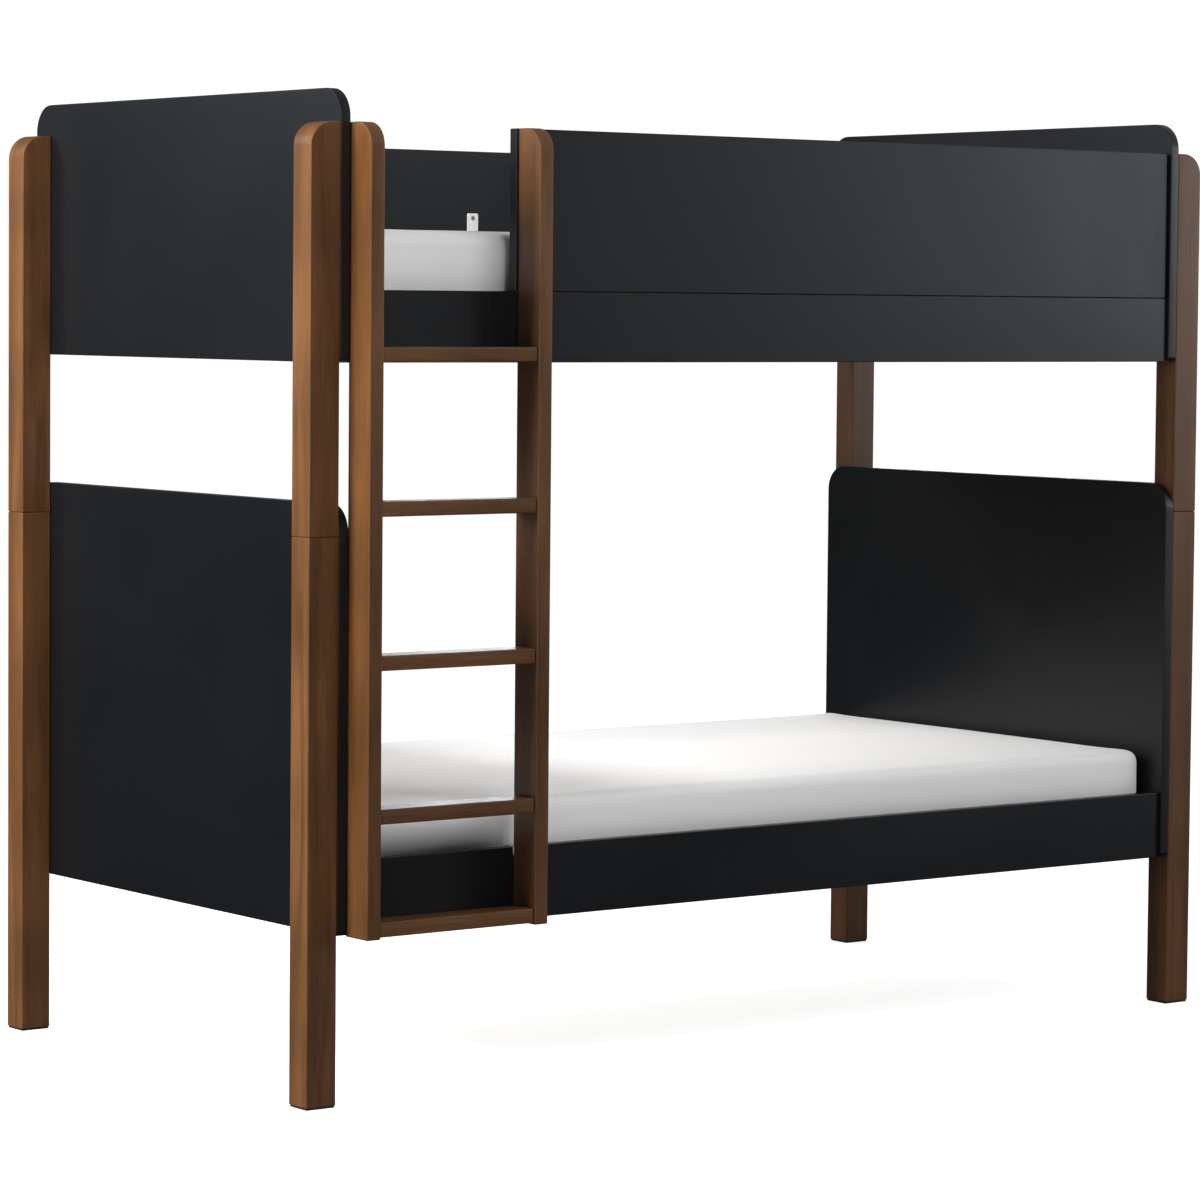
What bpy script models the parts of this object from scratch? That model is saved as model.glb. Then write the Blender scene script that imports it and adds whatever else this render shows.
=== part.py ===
"""Bunk bed with ladder, made as separate pieces.

Metres, +Z up. +X runs along the bed, -Y is the ladder side. The origin is on the floor, in the
middle of the footprint of the whole object, ladder included. Every length below is real size.
"""

import math

import bmesh
import bpy
from mathutils import Matrix
from mathutils import Vector

# ---- overall sizes -------------------------------------------------------------------------
BED_LENGTH = 2.085            # over the posts, along X
BED_WIDTH = 1.032             # over the posts, along Y
FIT_GAP = 0.0003              # between two pieces that touch
EDGE_SEGMENTS = 2             # facets across an eased edge
ARC_STEPS = 10                # facets in a rounded corner
ROUND_STEPS = 16              # facets around a bar or a screw head

# ---- posts: each is a lower and an upper half with a steel dowel between --------------------
POST_X = 0.060
POST_Y = 0.055
POST_TOP = 1.677
POST_SPLIT = 0.975
POST_EASE = 0.002
POST_TOP_RADIUS = 0.042       # the top corner that faces away from the bed
GLIDE_HEIGHT = 0.003
GLIDE_INSET = 0.0015
DOWEL_RADIUS = 0.005
DOWEL_DOWN = 0.050            # length held in the lower half
DOWEL_UP = 0.040              # length that stands up into the upper half
BORE_EXTRA = 0.003            # depth of a dowel bore past the dowel's end

# ---- end panels, on the inner side of the posts ---------------------------------------------
PANEL_THICK = 0.020
PANEL_TOP_RADIUS = 0.050
PANEL_LOW_RADIUS = 0.010
BOARD_EASE = 0.0015
LOWER_PANEL_Z = (0.293, 1.031)
UPPER_PANEL_Z = (1.270, 1.735)

# ---- side rails and guard rails -------------------------------------------------------------
RAIL_THICK = 0.020
RAIL_RECESS = 0.0065          # rail face behind the edge of the panel
LOWER_RAIL_Z = (0.293, 0.421)
UPPER_RAIL_Z = (1.270, 1.394)
GUARD_TOP = 1.677
GUARD_END_GAP = 0.0045        # open joint between a guard rail and a panel
GUARD_PAST_STILE = 0.004      # front guard rail's end, past the ladder

# ---- mattresses and the slat bases below them -----------------------------------------------
MATTRESS_LENGTH = 1.905
MATTRESS_WIDTH = 0.965
MATTRESS_THICK = 0.150
MATTRESS_ROUND = 0.020
LOWER_MATTRESS_TOP = 0.507
UPPER_MATTRESS_TOP = 1.499
SLAT_COUNT = 14
SLAT_WIDTH = 0.068
SLAT_THICK = 0.018
SLAT_END_GAP = 0.002
SLAT_EASE = 0.0015
STRAP_WIDTH = 0.035
STRAP_THICK = 0.0015
STRAP_BITE = 0.0005           # strap's overlap with the slats it is stapled to
STRAP_Y = 0.300
LEDGER_Y = 0.020
LEDGER_Z = 0.030
LEDGER_END_GAP = 0.004

# ---- ladder ---------------------------------------------------------------------------------
STILE_X = 0.028
STILE_Y = 0.0665
STILE_BOTTOM = 0.291
STILE_TOP = 1.677
STILE_TOP_RADIUS = 0.042
STILE_EASE = 0.002
STILE_PANEL_GAP = 0.002       # left stile to the left end panel
LADDER_CLEAR = 0.324          # between the stiles
RUNG_Y = 0.055
RUNG_Z = 0.026
RUNG_EASE = 0.003
RUNG_SETBACK = 0.003          # rung face behind the stile face
TOP_RUNG_TOP = 1.298
RUNG_PITCH = 0.2617
LOWEST_RUNG_TOP = 0.320

# ---- steel hardware -------------------------------------------------------------------------
SHEET = 0.002
HEAD_RADIUS = 0.0045
HEAD_HEIGHT = 0.0018
HEAD_BITE = 0.0005            # a screw head's overlap with its plate
PLATE_WIDTH = 0.026
PLATE_Z = (1.352, 1.553)      # joins a guard rail to the upper rail
PLATE_ROUND = 0.003
PLATE_HEADS_Z = (1.362, 1.384, 1.412, 1.543)
PLATE_END = 0.900             # X of the outermost plates
CORNER_LEG = 0.030
CORNER_HEIGHT = 0.040
CORNER_LIFT = 0.003           # above the slats
HOOK_WIDTH = 0.030
HOOK_FRONT_DROP = 0.017
HOOK_BACK_DROP = 0.020
BOLT_RADIUS = 0.003
BOLT_HEAD_RADIUS = 0.008
BOLT_HEAD_HEIGHT = 0.0025
BOLT_BORE_RADIUS = 0.0034
BOLT_IN_STILE = 0.032
BOLT_Z = 1.2855

# ---- worked out from the above --------------------------------------------------------------
HALF_LENGTH = BED_LENGTH / 2
HALF_WIDTH = BED_WIDTH / 2
PANEL_OUTER_X = HALF_LENGTH - POST_X - FIT_GAP
PANEL_INNER_X = HALF_LENGTH - POST_X - PANEL_THICK
RAIL_FACE_Y = HALF_WIDTH - RAIL_RECESS
RAIL_INNER_Y = RAIL_FACE_Y - RAIL_THICK
STILE_BACK_Y = -RAIL_FACE_Y - FIT_GAP
STILE_FRONT_Y = -RAIL_FACE_Y - STILE_Y
LADDER_REACH = -STILE_FRONT_Y - HALF_WIDTH
LEFT_STILE_X = -PANEL_INNER_X + STILE_PANEL_GAP
RIGHT_STILE_X = LEFT_STILE_X + STILE_X + LADDER_CLEAR
FRONT_GUARD_X = RIGHT_STILE_X - GUARD_PAST_STILE
BED_CENTRE_Y = LADDER_REACH / 2
SIDES = (("left", -1), ("right", 1))
FACES = (("front", -1), ("back", 1))
SQUARE = (0, 0, 0, 0)         # corner radii of a plain rectangle


def clear_scene():
    for item in list(bpy.data.objects):
        bpy.data.objects.remove(item, do_unlink=True)


def finish(name, colour, roughness, metallic=0.0):
    """A Principled material."""
    made = bpy.data.materials.new(name)
    made.use_nodes = True
    shader = made.node_tree.nodes["Principled BSDF"]
    shader.inputs["Base Color"].default_value = (*colour, 1.0)
    shader.inputs["Roughness"].default_value = roughness
    shader.inputs["Metallic"].default_value = metallic
    return made


def holder(name, parent=None, location=(0, 0, 0)):
    """An empty that carries a group of pieces."""
    empty = bpy.data.objects.new(name, None)
    empty.location = location
    empty.parent = parent
    bpy.context.collection.objects.link(empty)
    return empty


def place(name, bm, material, parent):
    """Makes the object of a bmesh, with the object's origin in the middle of its box."""
    bmesh.ops.recalc_face_normals(bm, faces=bm.faces)
    low = Vector([min(v.co[k] for v in bm.verts) for k in range(3)])
    high = Vector([max(v.co[k] for v in bm.verts) for k in range(3)])
    centre = (low + high) / 2
    bmesh.ops.translate(bm, verts=bm.verts, vec=-centre)
    mesh = bpy.data.meshes.new(name)
    bm.to_mesh(mesh)
    bm.free()
    mesh.materials.append(material)
    piece = bpy.data.objects.new(name, mesh)
    piece.location = centre
    piece.parent = parent
    bpy.context.collection.objects.link(piece)
    return piece


def rounded(low, high, radii):
    """Corner-rounded rectangle, counter-clockwise from its low corner; one radius per corner."""
    corners = ((low[0], low[1]), (high[0], low[1]), (high[0], high[1]), (low[0], high[1]))
    inward = ((1, 1), (-1, 1), (-1, -1), (1, -1))
    points = []
    for turn, (corner, sign, radius) in enumerate(zip(corners, inward, radii)):
        if radius == 0:
            points.append(corner)
            continue
        middle = (corner[0] + sign[0] * radius, corner[1] + sign[1] * radius)
        for step in range(ARC_STEPS + 1):
            angle = math.pi * (1 + turn / 2 + step / ARC_STEPS / 2)
            points.append((middle[0] + radius * math.cos(angle), middle[1] + radius * math.sin(angle)))
    return points


def extrude(bm, outline, axis, low, high):
    """Adds the solid that an outline sweeps along an axis; its points are the other two axes."""
    across = [k for k in range(3) if k != axis]
    ring = []
    for point in outline:
        spot = Vector((0, 0, 0))
        spot[axis] = low
        spot[across[0]] = point[0]
        spot[across[1]] = point[1]
        ring.append(bm.verts.new(spot))
    face = bm.faces.new(ring)
    swept = bmesh.ops.extrude_face_region(bm, geom=[face])
    travel = Vector((0, 0, 0))
    travel[axis] = high - low
    moved = [item for item in swept["geom"] if isinstance(item, bmesh.types.BMVert)]
    bmesh.ops.translate(bm, verts=moved, vec=travel)


def add_box(bm, low, high):
    extrude(bm, rounded(low[:2], high[:2], SQUARE), 2, low[2], high[2])


def add_disc(bm, centre, axis, radius, height):
    """Adds a short round bar, centred, along the X or Y axis or Z."""
    turn = (Matrix.Rotation(math.pi / 2, 4, "Y"), Matrix.Rotation(math.pi / 2, 4, "X"), Matrix())[axis]
    bmesh.ops.create_cone(
        bm, cap_ends=True, segments=ROUND_STEPS, radius1=radius, radius2=radius, depth=height,
        matrix=Matrix.Translation(centre) @ turn,
    )


def ease(piece, width, segments=EDGE_SEGMENTS):
    """Rounds a piece's sharp edges."""
    bevel = piece.modifiers.new("eased_edges", "BEVEL")
    bevel.width = width
    bevel.segments = segments
    bevel.limit_method = "ANGLE"
    bevel.angle_limit = math.radians(40)


def combine(piece, other, operation):
    """Boolean of a piece with a hidden helper object."""
    other.hide_render = True
    other.display_type = "WIRE"
    step = piece.modifiers.new(other.name, "BOOLEAN")
    step.operation = operation
    step.solver = "EXACT"
    step.object = other


def board(name, outline, axis, low, high, material, parent, edge):
    bm = bmesh.new()
    extrude(bm, outline, axis, low, high)
    piece = place(name, bm, material, parent)
    ease(piece, edge)
    return piece


def block(name, low, high, material, parent, edge):
    outline = rounded(low[:2], high[:2], SQUARE)
    return board(name, outline, 2, low[2], high[2], material, parent, edge)


def round_bar(name, centre, axis, radius, height, material, parent):
    bm = bmesh.new()
    add_disc(bm, centre, axis, radius, height)
    piece = place(name, bm, material, parent)
    piece.data.shade_smooth()
    piece.data.set_sharp_from_angle(angle=math.radians(40))
    return piece


def spread(sign, inner, outer):
    """The low and high ends of a stretch from inner to outer, on the side the sign gives."""
    return (inner, outer) if sign > 0 else (-outer, -inner)


# ---- end frames -----------------------------------------------------------------------------
def make_post(face, y_sign, side, x_sign):
    """Both halves of one post, the dowel between them and the glide below."""
    corner = f"{face}_{side}"
    x_low, x_high = spread(x_sign, HALF_LENGTH - POST_X, HALF_LENGTH)
    y_low, y_high = spread(y_sign, HALF_WIDTH - POST_Y, HALF_WIDTH)
    centre_x = (x_low + x_high) / 2
    centre_y = (y_low + y_high) / 2
    foot = (x_low, y_low, GLIDE_HEIGHT + FIT_GAP)
    lower_top = (x_high, y_high, POST_SPLIT)
    lower = block(f"lower_post_{corner}", foot, lower_top, walnut, lower_bunk, POST_EASE)
    top_radii = (0, 0, POST_TOP_RADIUS, 0) if x_sign > 0 else (0, 0, 0, POST_TOP_RADIUS)
    outline = rounded((x_low, POST_SPLIT + FIT_GAP), (x_high, POST_TOP), top_radii)
    upper = board(f"upper_post_{corner}", outline, 1, y_low, y_high, walnut, upper_bunk, POST_EASE)
    round_bar(
        f"post_dowel_{corner}", (centre_x, centre_y, POST_SPLIT + (DOWEL_UP - DOWEL_DOWN) / 2), 2,
        DOWEL_RADIUS, DOWEL_UP + DOWEL_DOWN, steel, lower_bunk,
    )
    bore_down = DOWEL_DOWN + BORE_EXTRA
    bore_up = DOWEL_UP + BORE_EXTRA
    bore = round_bar(
        f"bore_{corner}", (centre_x, centre_y, POST_SPLIT + (bore_up - bore_down) / 2), 2,
        DOWEL_RADIUS + FIT_GAP, bore_up + bore_down, steel, bed_centre,
    )
    combine(lower, bore, "DIFFERENCE")
    combine(upper, bore, "DIFFERENCE")
    glide_low = (x_low + GLIDE_INSET, y_low + GLIDE_INSET, 0)
    glide_high = (x_high - GLIDE_INSET, y_high - GLIDE_INSET, GLIDE_HEIGHT)
    block(f"foot_glide_{corner}", glide_low, glide_high, plastic, lower_bunk, GLIDE_HEIGHT / 4)


def make_panel(level, side, x_sign, heights, parent):
    """End panel with large rounded top corners."""
    radii = (PANEL_LOW_RADIUS, PANEL_LOW_RADIUS, PANEL_TOP_RADIUS, PANEL_TOP_RADIUS)
    outline = rounded((-HALF_WIDTH, heights[0]), (HALF_WIDTH, heights[1]), radii)
    x_low, x_high = spread(x_sign, PANEL_INNER_X, PANEL_OUTER_X)
    board(f"{level}_panel_{side}", outline, 0, x_low, x_high, lacquer, parent, BOARD_EASE)


# ---- rails ----------------------------------------------------------------------------------
def make_rails(level, face, y_sign, heights, mattress_top, parent):
    """A side rail, and the ledger on its inner face that carries the slats."""
    reach = PANEL_INNER_X - FIT_GAP
    y_low, y_high = spread(y_sign, RAIL_INNER_Y, RAIL_FACE_Y)
    low = (-reach, y_low, heights[0])
    high = (reach, y_high, heights[1])
    rail = block(f"{level}_rail_{face}", low, high, lacquer, parent, BOARD_EASE)
    reach = PANEL_INNER_X - LEDGER_END_GAP
    top = mattress_top - MATTRESS_THICK - SLAT_THICK - FIT_GAP
    y_low, y_high = spread(y_sign, RAIL_INNER_Y - FIT_GAP - LEDGER_Y, RAIL_INNER_Y - FIT_GAP)
    low = (-reach, y_low, top - LEDGER_Z)
    high = (reach, y_high, top)
    block(f"{level}_ledger_{face}", low, high, pine, parent, SLAT_EASE)
    return rail


def make_guard(face, y_sign, x_low):
    """Guard rail that stands on the upper rail, from x_low to the right end panel."""
    y_low, y_high = spread(y_sign, RAIL_INNER_Y, RAIL_FACE_Y)
    low = (x_low, y_low, UPPER_RAIL_Z[1] + FIT_GAP)
    high = (PANEL_INNER_X - GUARD_END_GAP, y_high, GUARD_TOP)
    block(f"guard_rail_{face}", low, high, lacquer, upper_bunk, BOARD_EASE)


# ---- bedding --------------------------------------------------------------------------------
def make_slats(level, mattress_top, parent):
    """Slats held at even spaces by two webbing straps stapled below them."""
    top = mattress_top - MATTRESS_THICK
    bottom = top - SLAT_THICK
    half = RAIL_INNER_Y - SLAT_END_GAP
    pitch = 2 * PANEL_INNER_X / SLAT_COUNT
    bm = bmesh.new()
    for number in range(SLAT_COUNT):
        middle = -PANEL_INNER_X + pitch * (number + 0.5)
        add_box(bm, (middle - SLAT_WIDTH / 2, -half, bottom), (middle + SLAT_WIDTH / 2, half, top))
    slats = place(f"{level}_slat_base", bm, pine, parent)
    ease(slats, SLAT_EASE, segments=1)
    strap_reach = PANEL_INNER_X - pitch / 2
    straps = bmesh.new()
    strap_top = bottom + STRAP_BITE
    for sign in (-1, 1):
        y_low = sign * STRAP_Y - STRAP_WIDTH / 2
        low = (-strap_reach, y_low, strap_top - STRAP_THICK)
        add_box(straps, low, (strap_reach, y_low + STRAP_WIDTH, strap_top))
    combine(slats, place(f"{level}_straps", straps, webbing, parent), "UNION")


def make_mattress(level, top, parent):
    low = (-MATTRESS_LENGTH / 2, -MATTRESS_WIDTH / 2, top - MATTRESS_THICK + FIT_GAP)
    high = (MATTRESS_LENGTH / 2, MATTRESS_WIDTH / 2, top)
    bm = bmesh.new()
    add_box(bm, low, high)
    mattress = place(f"{level}_mattress", bm, cover, parent)
    ease(mattress, MATTRESS_ROUND, segments=4)


# ---- ladder ---------------------------------------------------------------------------------
def make_stile(side, x_low, rail):
    """Ladder stile, its bolt through the upper rail and its hook over the lower rail."""
    x_high = x_low + STILE_X
    middle = (x_low + x_high) / 2
    radii = (0, 0, 0, STILE_TOP_RADIUS)
    outline = rounded((STILE_FRONT_Y, STILE_BOTTOM), (STILE_BACK_Y, STILE_TOP), radii)
    stile = board(f"ladder_stile_{side}", outline, 0, x_low, x_high, walnut, upper_bunk, STILE_EASE)

    bolt_front = STILE_BACK_Y - BOLT_IN_STILE
    bolt_back = -RAIL_INNER_Y + FIT_GAP
    shank = (middle, (bolt_front + bolt_back) / 2, BOLT_Z)
    bolt = round_bar(f"ladder_bolt_{side}", shank, 1, BOLT_RADIUS, bolt_back - bolt_front, steel, upper_bunk)
    head_at = (middle, bolt_back + BOLT_HEAD_HEIGHT / 2, BOLT_Z)
    head = round_bar(f"bolt_head_{side}", head_at, 1, BOLT_HEAD_RADIUS, BOLT_HEAD_HEIGHT, steel, bed_centre)
    combine(bolt, head, "UNION")
    bore_front = bolt_front - BORE_EXTRA
    bore_back = bolt_back + RAIL_THICK
    bore_at = (middle, (bore_front + bore_back) / 2, BOLT_Z)
    bore_length = bore_back - bore_front
    bore = round_bar(f"bolt_bore_{side}", bore_at, 1, BOLT_BORE_RADIUS, bore_length, steel, bed_centre)
    combine(stile, bore, "DIFFERENCE")
    combine(rail, bore, "DIFFERENCE")

    half = HOOK_WIDTH / 2
    front = STILE_BACK_Y - SHEET
    back = -RAIL_INNER_Y + FIT_GAP + SHEET
    under = LOWER_RAIL_Z[1] + FIT_GAP
    over = under + SHEET
    front_tip = over - HOOK_FRONT_DROP
    back_tip = over - HOOK_BACK_DROP
    hook_outline = (
        (front, front_tip), (front + SHEET, front_tip), (front + SHEET, under), (back - SHEET, under),
        (back - SHEET, back_tip), (back, back_tip), (back, over), (front, over),
    )
    bm = bmesh.new()
    extrude(bm, hook_outline, 0, middle - half, middle + half)
    place(f"ladder_hook_{side}", bm, steel, upper_bunk)
    recess = bmesh.new()
    low = (middle - half, front - FIT_GAP, front_tip - FIT_GAP)
    add_box(recess, low, (middle + half, -RAIL_FACE_Y + SHEET, over + FIT_GAP))
    combine(stile, place(f"hook_recess_{side}", recess, steel, bed_centre), "DIFFERENCE")


def make_rung(number, top):
    front = STILE_FRONT_Y + RUNG_SETBACK
    low = (LEFT_STILE_X + STILE_X + FIT_GAP, front, top - RUNG_Z)
    high = (RIGHT_STILE_X - FIT_GAP, front + RUNG_Y, top)
    block(f"ladder_rung_{number}", low, high, walnut, upper_bunk, RUNG_EASE)


# ---- hardware inside the bed ----------------------------------------------------------------
def make_guard_plate(name, face, y_sign, x):
    """Flat plate with four screw heads, across the joint of a guard rail and its rail."""
    against = RAIL_INNER_Y - FIT_GAP
    half = PLATE_WIDTH / 2
    bm = bmesh.new()
    y_low, y_high = spread(y_sign, against - SHEET, against)
    outline = rounded((x - half, PLATE_Z[0]), (x + half, PLATE_Z[1]), (PLATE_ROUND,) * 4)
    extrude(bm, outline, 1, y_low, y_high)
    plate = place(f"guard_plate_{face}_{name}", bm, steel, upper_bunk)
    heads = bmesh.new()
    head_y = y_sign * (against - SHEET + (HEAD_BITE - HEAD_HEIGHT) / 2)
    for z in PLATE_HEADS_Z:
        add_disc(heads, (x, head_y, z), 1, HEAD_RADIUS, HEAD_HEIGHT + HEAD_BITE)
    combine(plate, place(f"plate_heads_{face}_{name}", heads, steel, bed_centre), "UNION")


def make_corner(level, face, y_sign, side, x_sign, mattress_top, parent):
    """Angle bracket between a rail and an end panel, with a screw head in each leg."""
    x = x_sign * (PANEL_INNER_X - FIT_GAP)
    y = y_sign * (RAIL_INNER_Y - FIT_GAP)
    low = mattress_top - MATTRESS_THICK + CORNER_LIFT
    inner_x = x - x_sign * SHEET
    inner_y = y - y_sign * SHEET
    end_x = x - x_sign * CORNER_LEG
    end_y = y - y_sign * CORNER_LEG
    outline = ((x, y), (end_x, y), (end_x, inner_y), (inner_x, inner_y), (inner_x, end_y), (x, end_y))
    bm = bmesh.new()
    extrude(bm, outline, 2, low, low + CORNER_HEIGHT)
    name = f"{level}_corner_{face}_{side}"
    bracket = place(name, bm, steel, parent)
    heads = bmesh.new()
    shift = (HEAD_HEIGHT - HEAD_BITE) / 2
    height = HEAD_HEIGHT + HEAD_BITE
    middle = low + CORNER_HEIGHT / 2
    along = 0.6 * CORNER_LEG
    add_disc(heads, (x - x_sign * along, inner_y - y_sign * shift, middle), 1, HEAD_RADIUS, height)
    add_disc(heads, (inner_x - x_sign * shift, y - y_sign * along, middle), 0, HEAD_RADIUS, height)
    combine(bracket, place(f"heads_{name}", heads, steel, bed_centre), "UNION")


# ---- the bed --------------------------------------------------------------------------------
clear_scene()
walnut = finish("walnut", (0.17, 0.075, 0.035), 0.42)
lacquer = finish("black_lacquer", (0.012, 0.012, 0.014), 0.38)
pine = finish("pine", (0.62, 0.47, 0.30), 0.6)
webbing = finish("webbing", (0.75, 0.74, 0.70), 0.9)
cover = finish("mattress_cover", (0.88, 0.88, 0.88), 0.9)
steel = finish("zinc_steel", (0.62, 0.62, 0.63), 0.35, 1.0)
plastic = finish("glide_plastic", (0.02, 0.02, 0.02), 0.6)

bed_centre = holder("bed_centre", location=(0, BED_CENTRE_Y, 0))
lower_bunk = holder("lower_bunk", bed_centre)
upper_bunk = holder("upper_bunk", bed_centre)
levels = (
    ("lower", LOWER_PANEL_Z, LOWER_RAIL_Z, LOWER_MATTRESS_TOP, lower_bunk),
    ("upper", UPPER_PANEL_Z, UPPER_RAIL_Z, UPPER_MATTRESS_TOP, upper_bunk),
)

rails = {}
for face, y_sign in FACES:
    for side, x_sign in SIDES:
        make_post(face, y_sign, side, x_sign)
for level, panel_z, rail_z, mattress_top, bunk in levels:
    for side, x_sign in SIDES:
        make_panel(level, side, x_sign, panel_z, bunk)
    for face, y_sign in FACES:
        rails[level, face] = make_rails(level, face, y_sign, rail_z, mattress_top, bunk)
        for side, x_sign in SIDES:
            make_corner(level, face, y_sign, side, x_sign, mattress_top, bunk)
    make_slats(level, mattress_top, bunk)
    make_mattress(level, mattress_top, bunk)

make_guard("front", -1, FRONT_GUARD_X)
make_guard("back", 1, -PANEL_INNER_X + GUARD_END_GAP)
front_start = RIGHT_STILE_X + STILE_X + PLATE_WIDTH + SHEET
for name, part_way in (("left", 0), ("middle", 0.5), ("right", 1)):
    make_guard_plate(name, "front", -1, front_start + part_way * (PLATE_END - front_start))
    make_guard_plate(name, "back", 1, PLATE_END * (2 * part_way - 1))

make_stile("left", LEFT_STILE_X, rails["upper", "front"])
make_stile("right", RIGHT_STILE_X, rails["upper", "front"])
rung_tops = [TOP_RUNG_TOP - RUNG_PITCH * step for step in range(4)] + [LOWEST_RUNG_TOP]
for number, top in enumerate(rung_tops, start=1):
    make_rung(number, top)
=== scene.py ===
"""Looks of a bunk bed with ladder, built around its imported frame.

Metres, +Z up, in the frame's own coordinates: +X runs along the bed, -Y is the ladder side.
"""

import math
import random

import bmesh
import bpy
from mathutils import Matrix
from mathutils import Vector
from mathutils import noise


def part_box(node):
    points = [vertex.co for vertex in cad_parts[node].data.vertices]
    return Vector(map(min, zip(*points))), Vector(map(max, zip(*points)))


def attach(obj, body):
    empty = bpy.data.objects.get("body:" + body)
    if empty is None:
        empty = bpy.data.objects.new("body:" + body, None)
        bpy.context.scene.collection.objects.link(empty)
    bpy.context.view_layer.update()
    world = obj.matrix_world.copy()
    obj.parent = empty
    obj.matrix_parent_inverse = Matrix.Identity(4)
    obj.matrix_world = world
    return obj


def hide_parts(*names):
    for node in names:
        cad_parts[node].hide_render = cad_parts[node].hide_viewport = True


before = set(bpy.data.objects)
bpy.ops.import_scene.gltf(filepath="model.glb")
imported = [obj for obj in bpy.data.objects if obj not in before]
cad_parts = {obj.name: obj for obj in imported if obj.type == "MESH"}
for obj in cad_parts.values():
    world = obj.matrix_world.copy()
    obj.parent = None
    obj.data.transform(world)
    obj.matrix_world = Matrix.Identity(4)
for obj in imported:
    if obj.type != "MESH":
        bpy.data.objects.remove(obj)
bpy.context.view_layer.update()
scene = bpy.context.scene

LEVELS = ("lower", "upper")
SIDES = {"left": -1, "right": 1}          # with the sign of their X
FACES = {"front": -1, "back": 1}          # with the sign of their Y

# ---- camera, fitted to the photograph's edges -----------------------------------------------
CAMERA_BACK = 8.2943          # level distance from the middle of the bed
CAMERA_AZIMUTH = 37.3211      # degrees from straight ahead, towards the ladder's end
CAMERA_HEIGHT = 1.3716
CAMERA_YAW = 36.9693
CAMERA_PITCH = -3.1427
CAMERA_ROLL = 0.5044
CAMERA_LENS = 129.73
CAMERA_SHIFT = (0.0004, -0.048)

# ---- studio ---------------------------------------------------------------------------------
WORLD_FRONT = 0.07            # strength of the fill from the front and from behind the bed
WORLD_BACK = 1.35
WORLD_GLOSS = 0.95            # strength in reflections at the right, and elsewhere
WORLD_DIM = 0.06
WORLD_SEEN = 1.05             # strength that the camera sees
FLOOR_REACH = 40.0
FLOOR_TONE = (0.42, 0.42, 0.42, 1)
FLOOR_LIFT = 0.85             # glow that only the camera sees
FLOOR_DIM = 0.012             # glow in reflections
COOL = (0.90, 0.95, 1.0)

# ---- tones: linear, from dark to light ------------------------------------------------------
WALNUT_TONES = ((0.068, 0.026, 0.0072), (0.110, 0.046, 0.0148), (0.146, 0.064, 0.022))
PINE_TONES = ((0.50, 0.30, 0.13), (0.66, 0.46, 0.25), (0.74, 0.55, 0.33))
LACQUER_TONES = ((0.0028, 0.0034, 0.0043, 1.0), (0.0047, 0.0056, 0.0070, 1.0))
LACQUER_DUST = (0.05, 0.05, 0.055, 1.0)
# grey of the panels' edges: partly wear, partly a painted highlight
LACQUER_EDGE_WEAR_AND_HIGHLIGHT = (0.045, 0.045, 0.05, 1.0)
KNIT_TONES = ((0.86, 0.862, 0.866, 1.0), (0.90, 0.90, 0.90, 1.0))
# the webbing's two tones are painted shade and light on the ribs of its weave
WEBBING_SHADE_AND_LIGHT_TONES = ((0.50, 0.48, 0.43, 1.0), (0.78, 0.77, 0.72, 1.0))
PLASTIC_TONES = ((0.018, 0.018, 0.019, 1), (0.07, 0.07, 0.07, 1))
SCREW_TONE = (0.34, 0.34, 0.35)
SHEET_TONE = (0.93, 0.93, 0.93)

# ---- weaves ---------------------------------------------------------------------------------
KNIT_PITCH = (0.0016, 0.0013, 0.0013)     # of the stitches, along each axis
WEBBING_PITCH = 0.0022
WEBBING_FOLD = 0.00875                    # the ribs turn back after this width

# ---- meshes ---------------------------------------------------------------------------------
MERGE = 0.00001               # points nearer than this are one
NEAR_AXIS = 0.0001            # a turned profile starts and ends this far from its axis
SHARP_ANGLE = 35
FRAME_SHARP_ANGLE = 50        # the same, on the nodes carried over from the frame

# ---- cloth and other soft parts -------------------------------------------------------------
CLOTH_FRAMES = 20
CLOTH_PRESSURE = 4.0
CLOTH_START = 0.003           # the mattress starts this much smaller
CLOTH_CAP = 0.005             # and no point of it travels further
CLOTH_HELD = 0.004            # the lowest part of it, which stays where it rests
MATTRESS_ROUND = 0.024
ROUND_STEPS = 5
MATTRESS_SEED = 11            # of the lower mattress; the upper one has the next
MATTRESS_CELL = 0.018
PLEAT_CELL = 0.0032
PLEAT_COUNT = 5
PLEAT_SHIFT = 0.012           # their middle is this far to the left of the right stile
PLEAT_REACH = 0.030           # half the width of the stretch of small folds by the ladder
PLEAT_DEPTH = 0.0016
PLEAT_RISE = 0.055            # the folds start to fade this far above the mattress's underside
PLEAT_FADE = 0.020
SLAT_SAG = 0.0025             # how far the mattress sinks between two slats
WAVE_DEPTH = 0.0009           # slow unevenness of the whole cover
WAVE_SCALE = (2.2, 2.2, 6)
HEM_FOLD = 0.0010             # depth of the soft folds low on the mattress's sides
HEM_SCALE = (34, 34, 5)
HEM_SHARE = 0.62              # of the mattress's height, where these folds end
CORNER_REACH = 0.16           # they are deeper this near to a corner

# ---- slats ----------------------------------------------------------------------------------
SLAT_COUNT = 14
SLAT_WIDTH = 0.068
SLAT_THICK = 0.018
SLAT_ROUND = 0.003
SLAT_SEED = 31                # of the lower base; the upper one has the next
STRAP_Y = 0.300
STRAP_WIDTH = 0.035
STRAP_THICK = 0.0013
STRAP_SAG = 0.0015
STRAP_CORNER = 0.001
STAPLE_SIZE = (0.0012, 0.012, 0.0007)
STAPLE_SPOT = (0.0077, 0.011)             # from the middle of the crossing, on both sides
STAPLE_EASE = 0.0003

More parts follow.
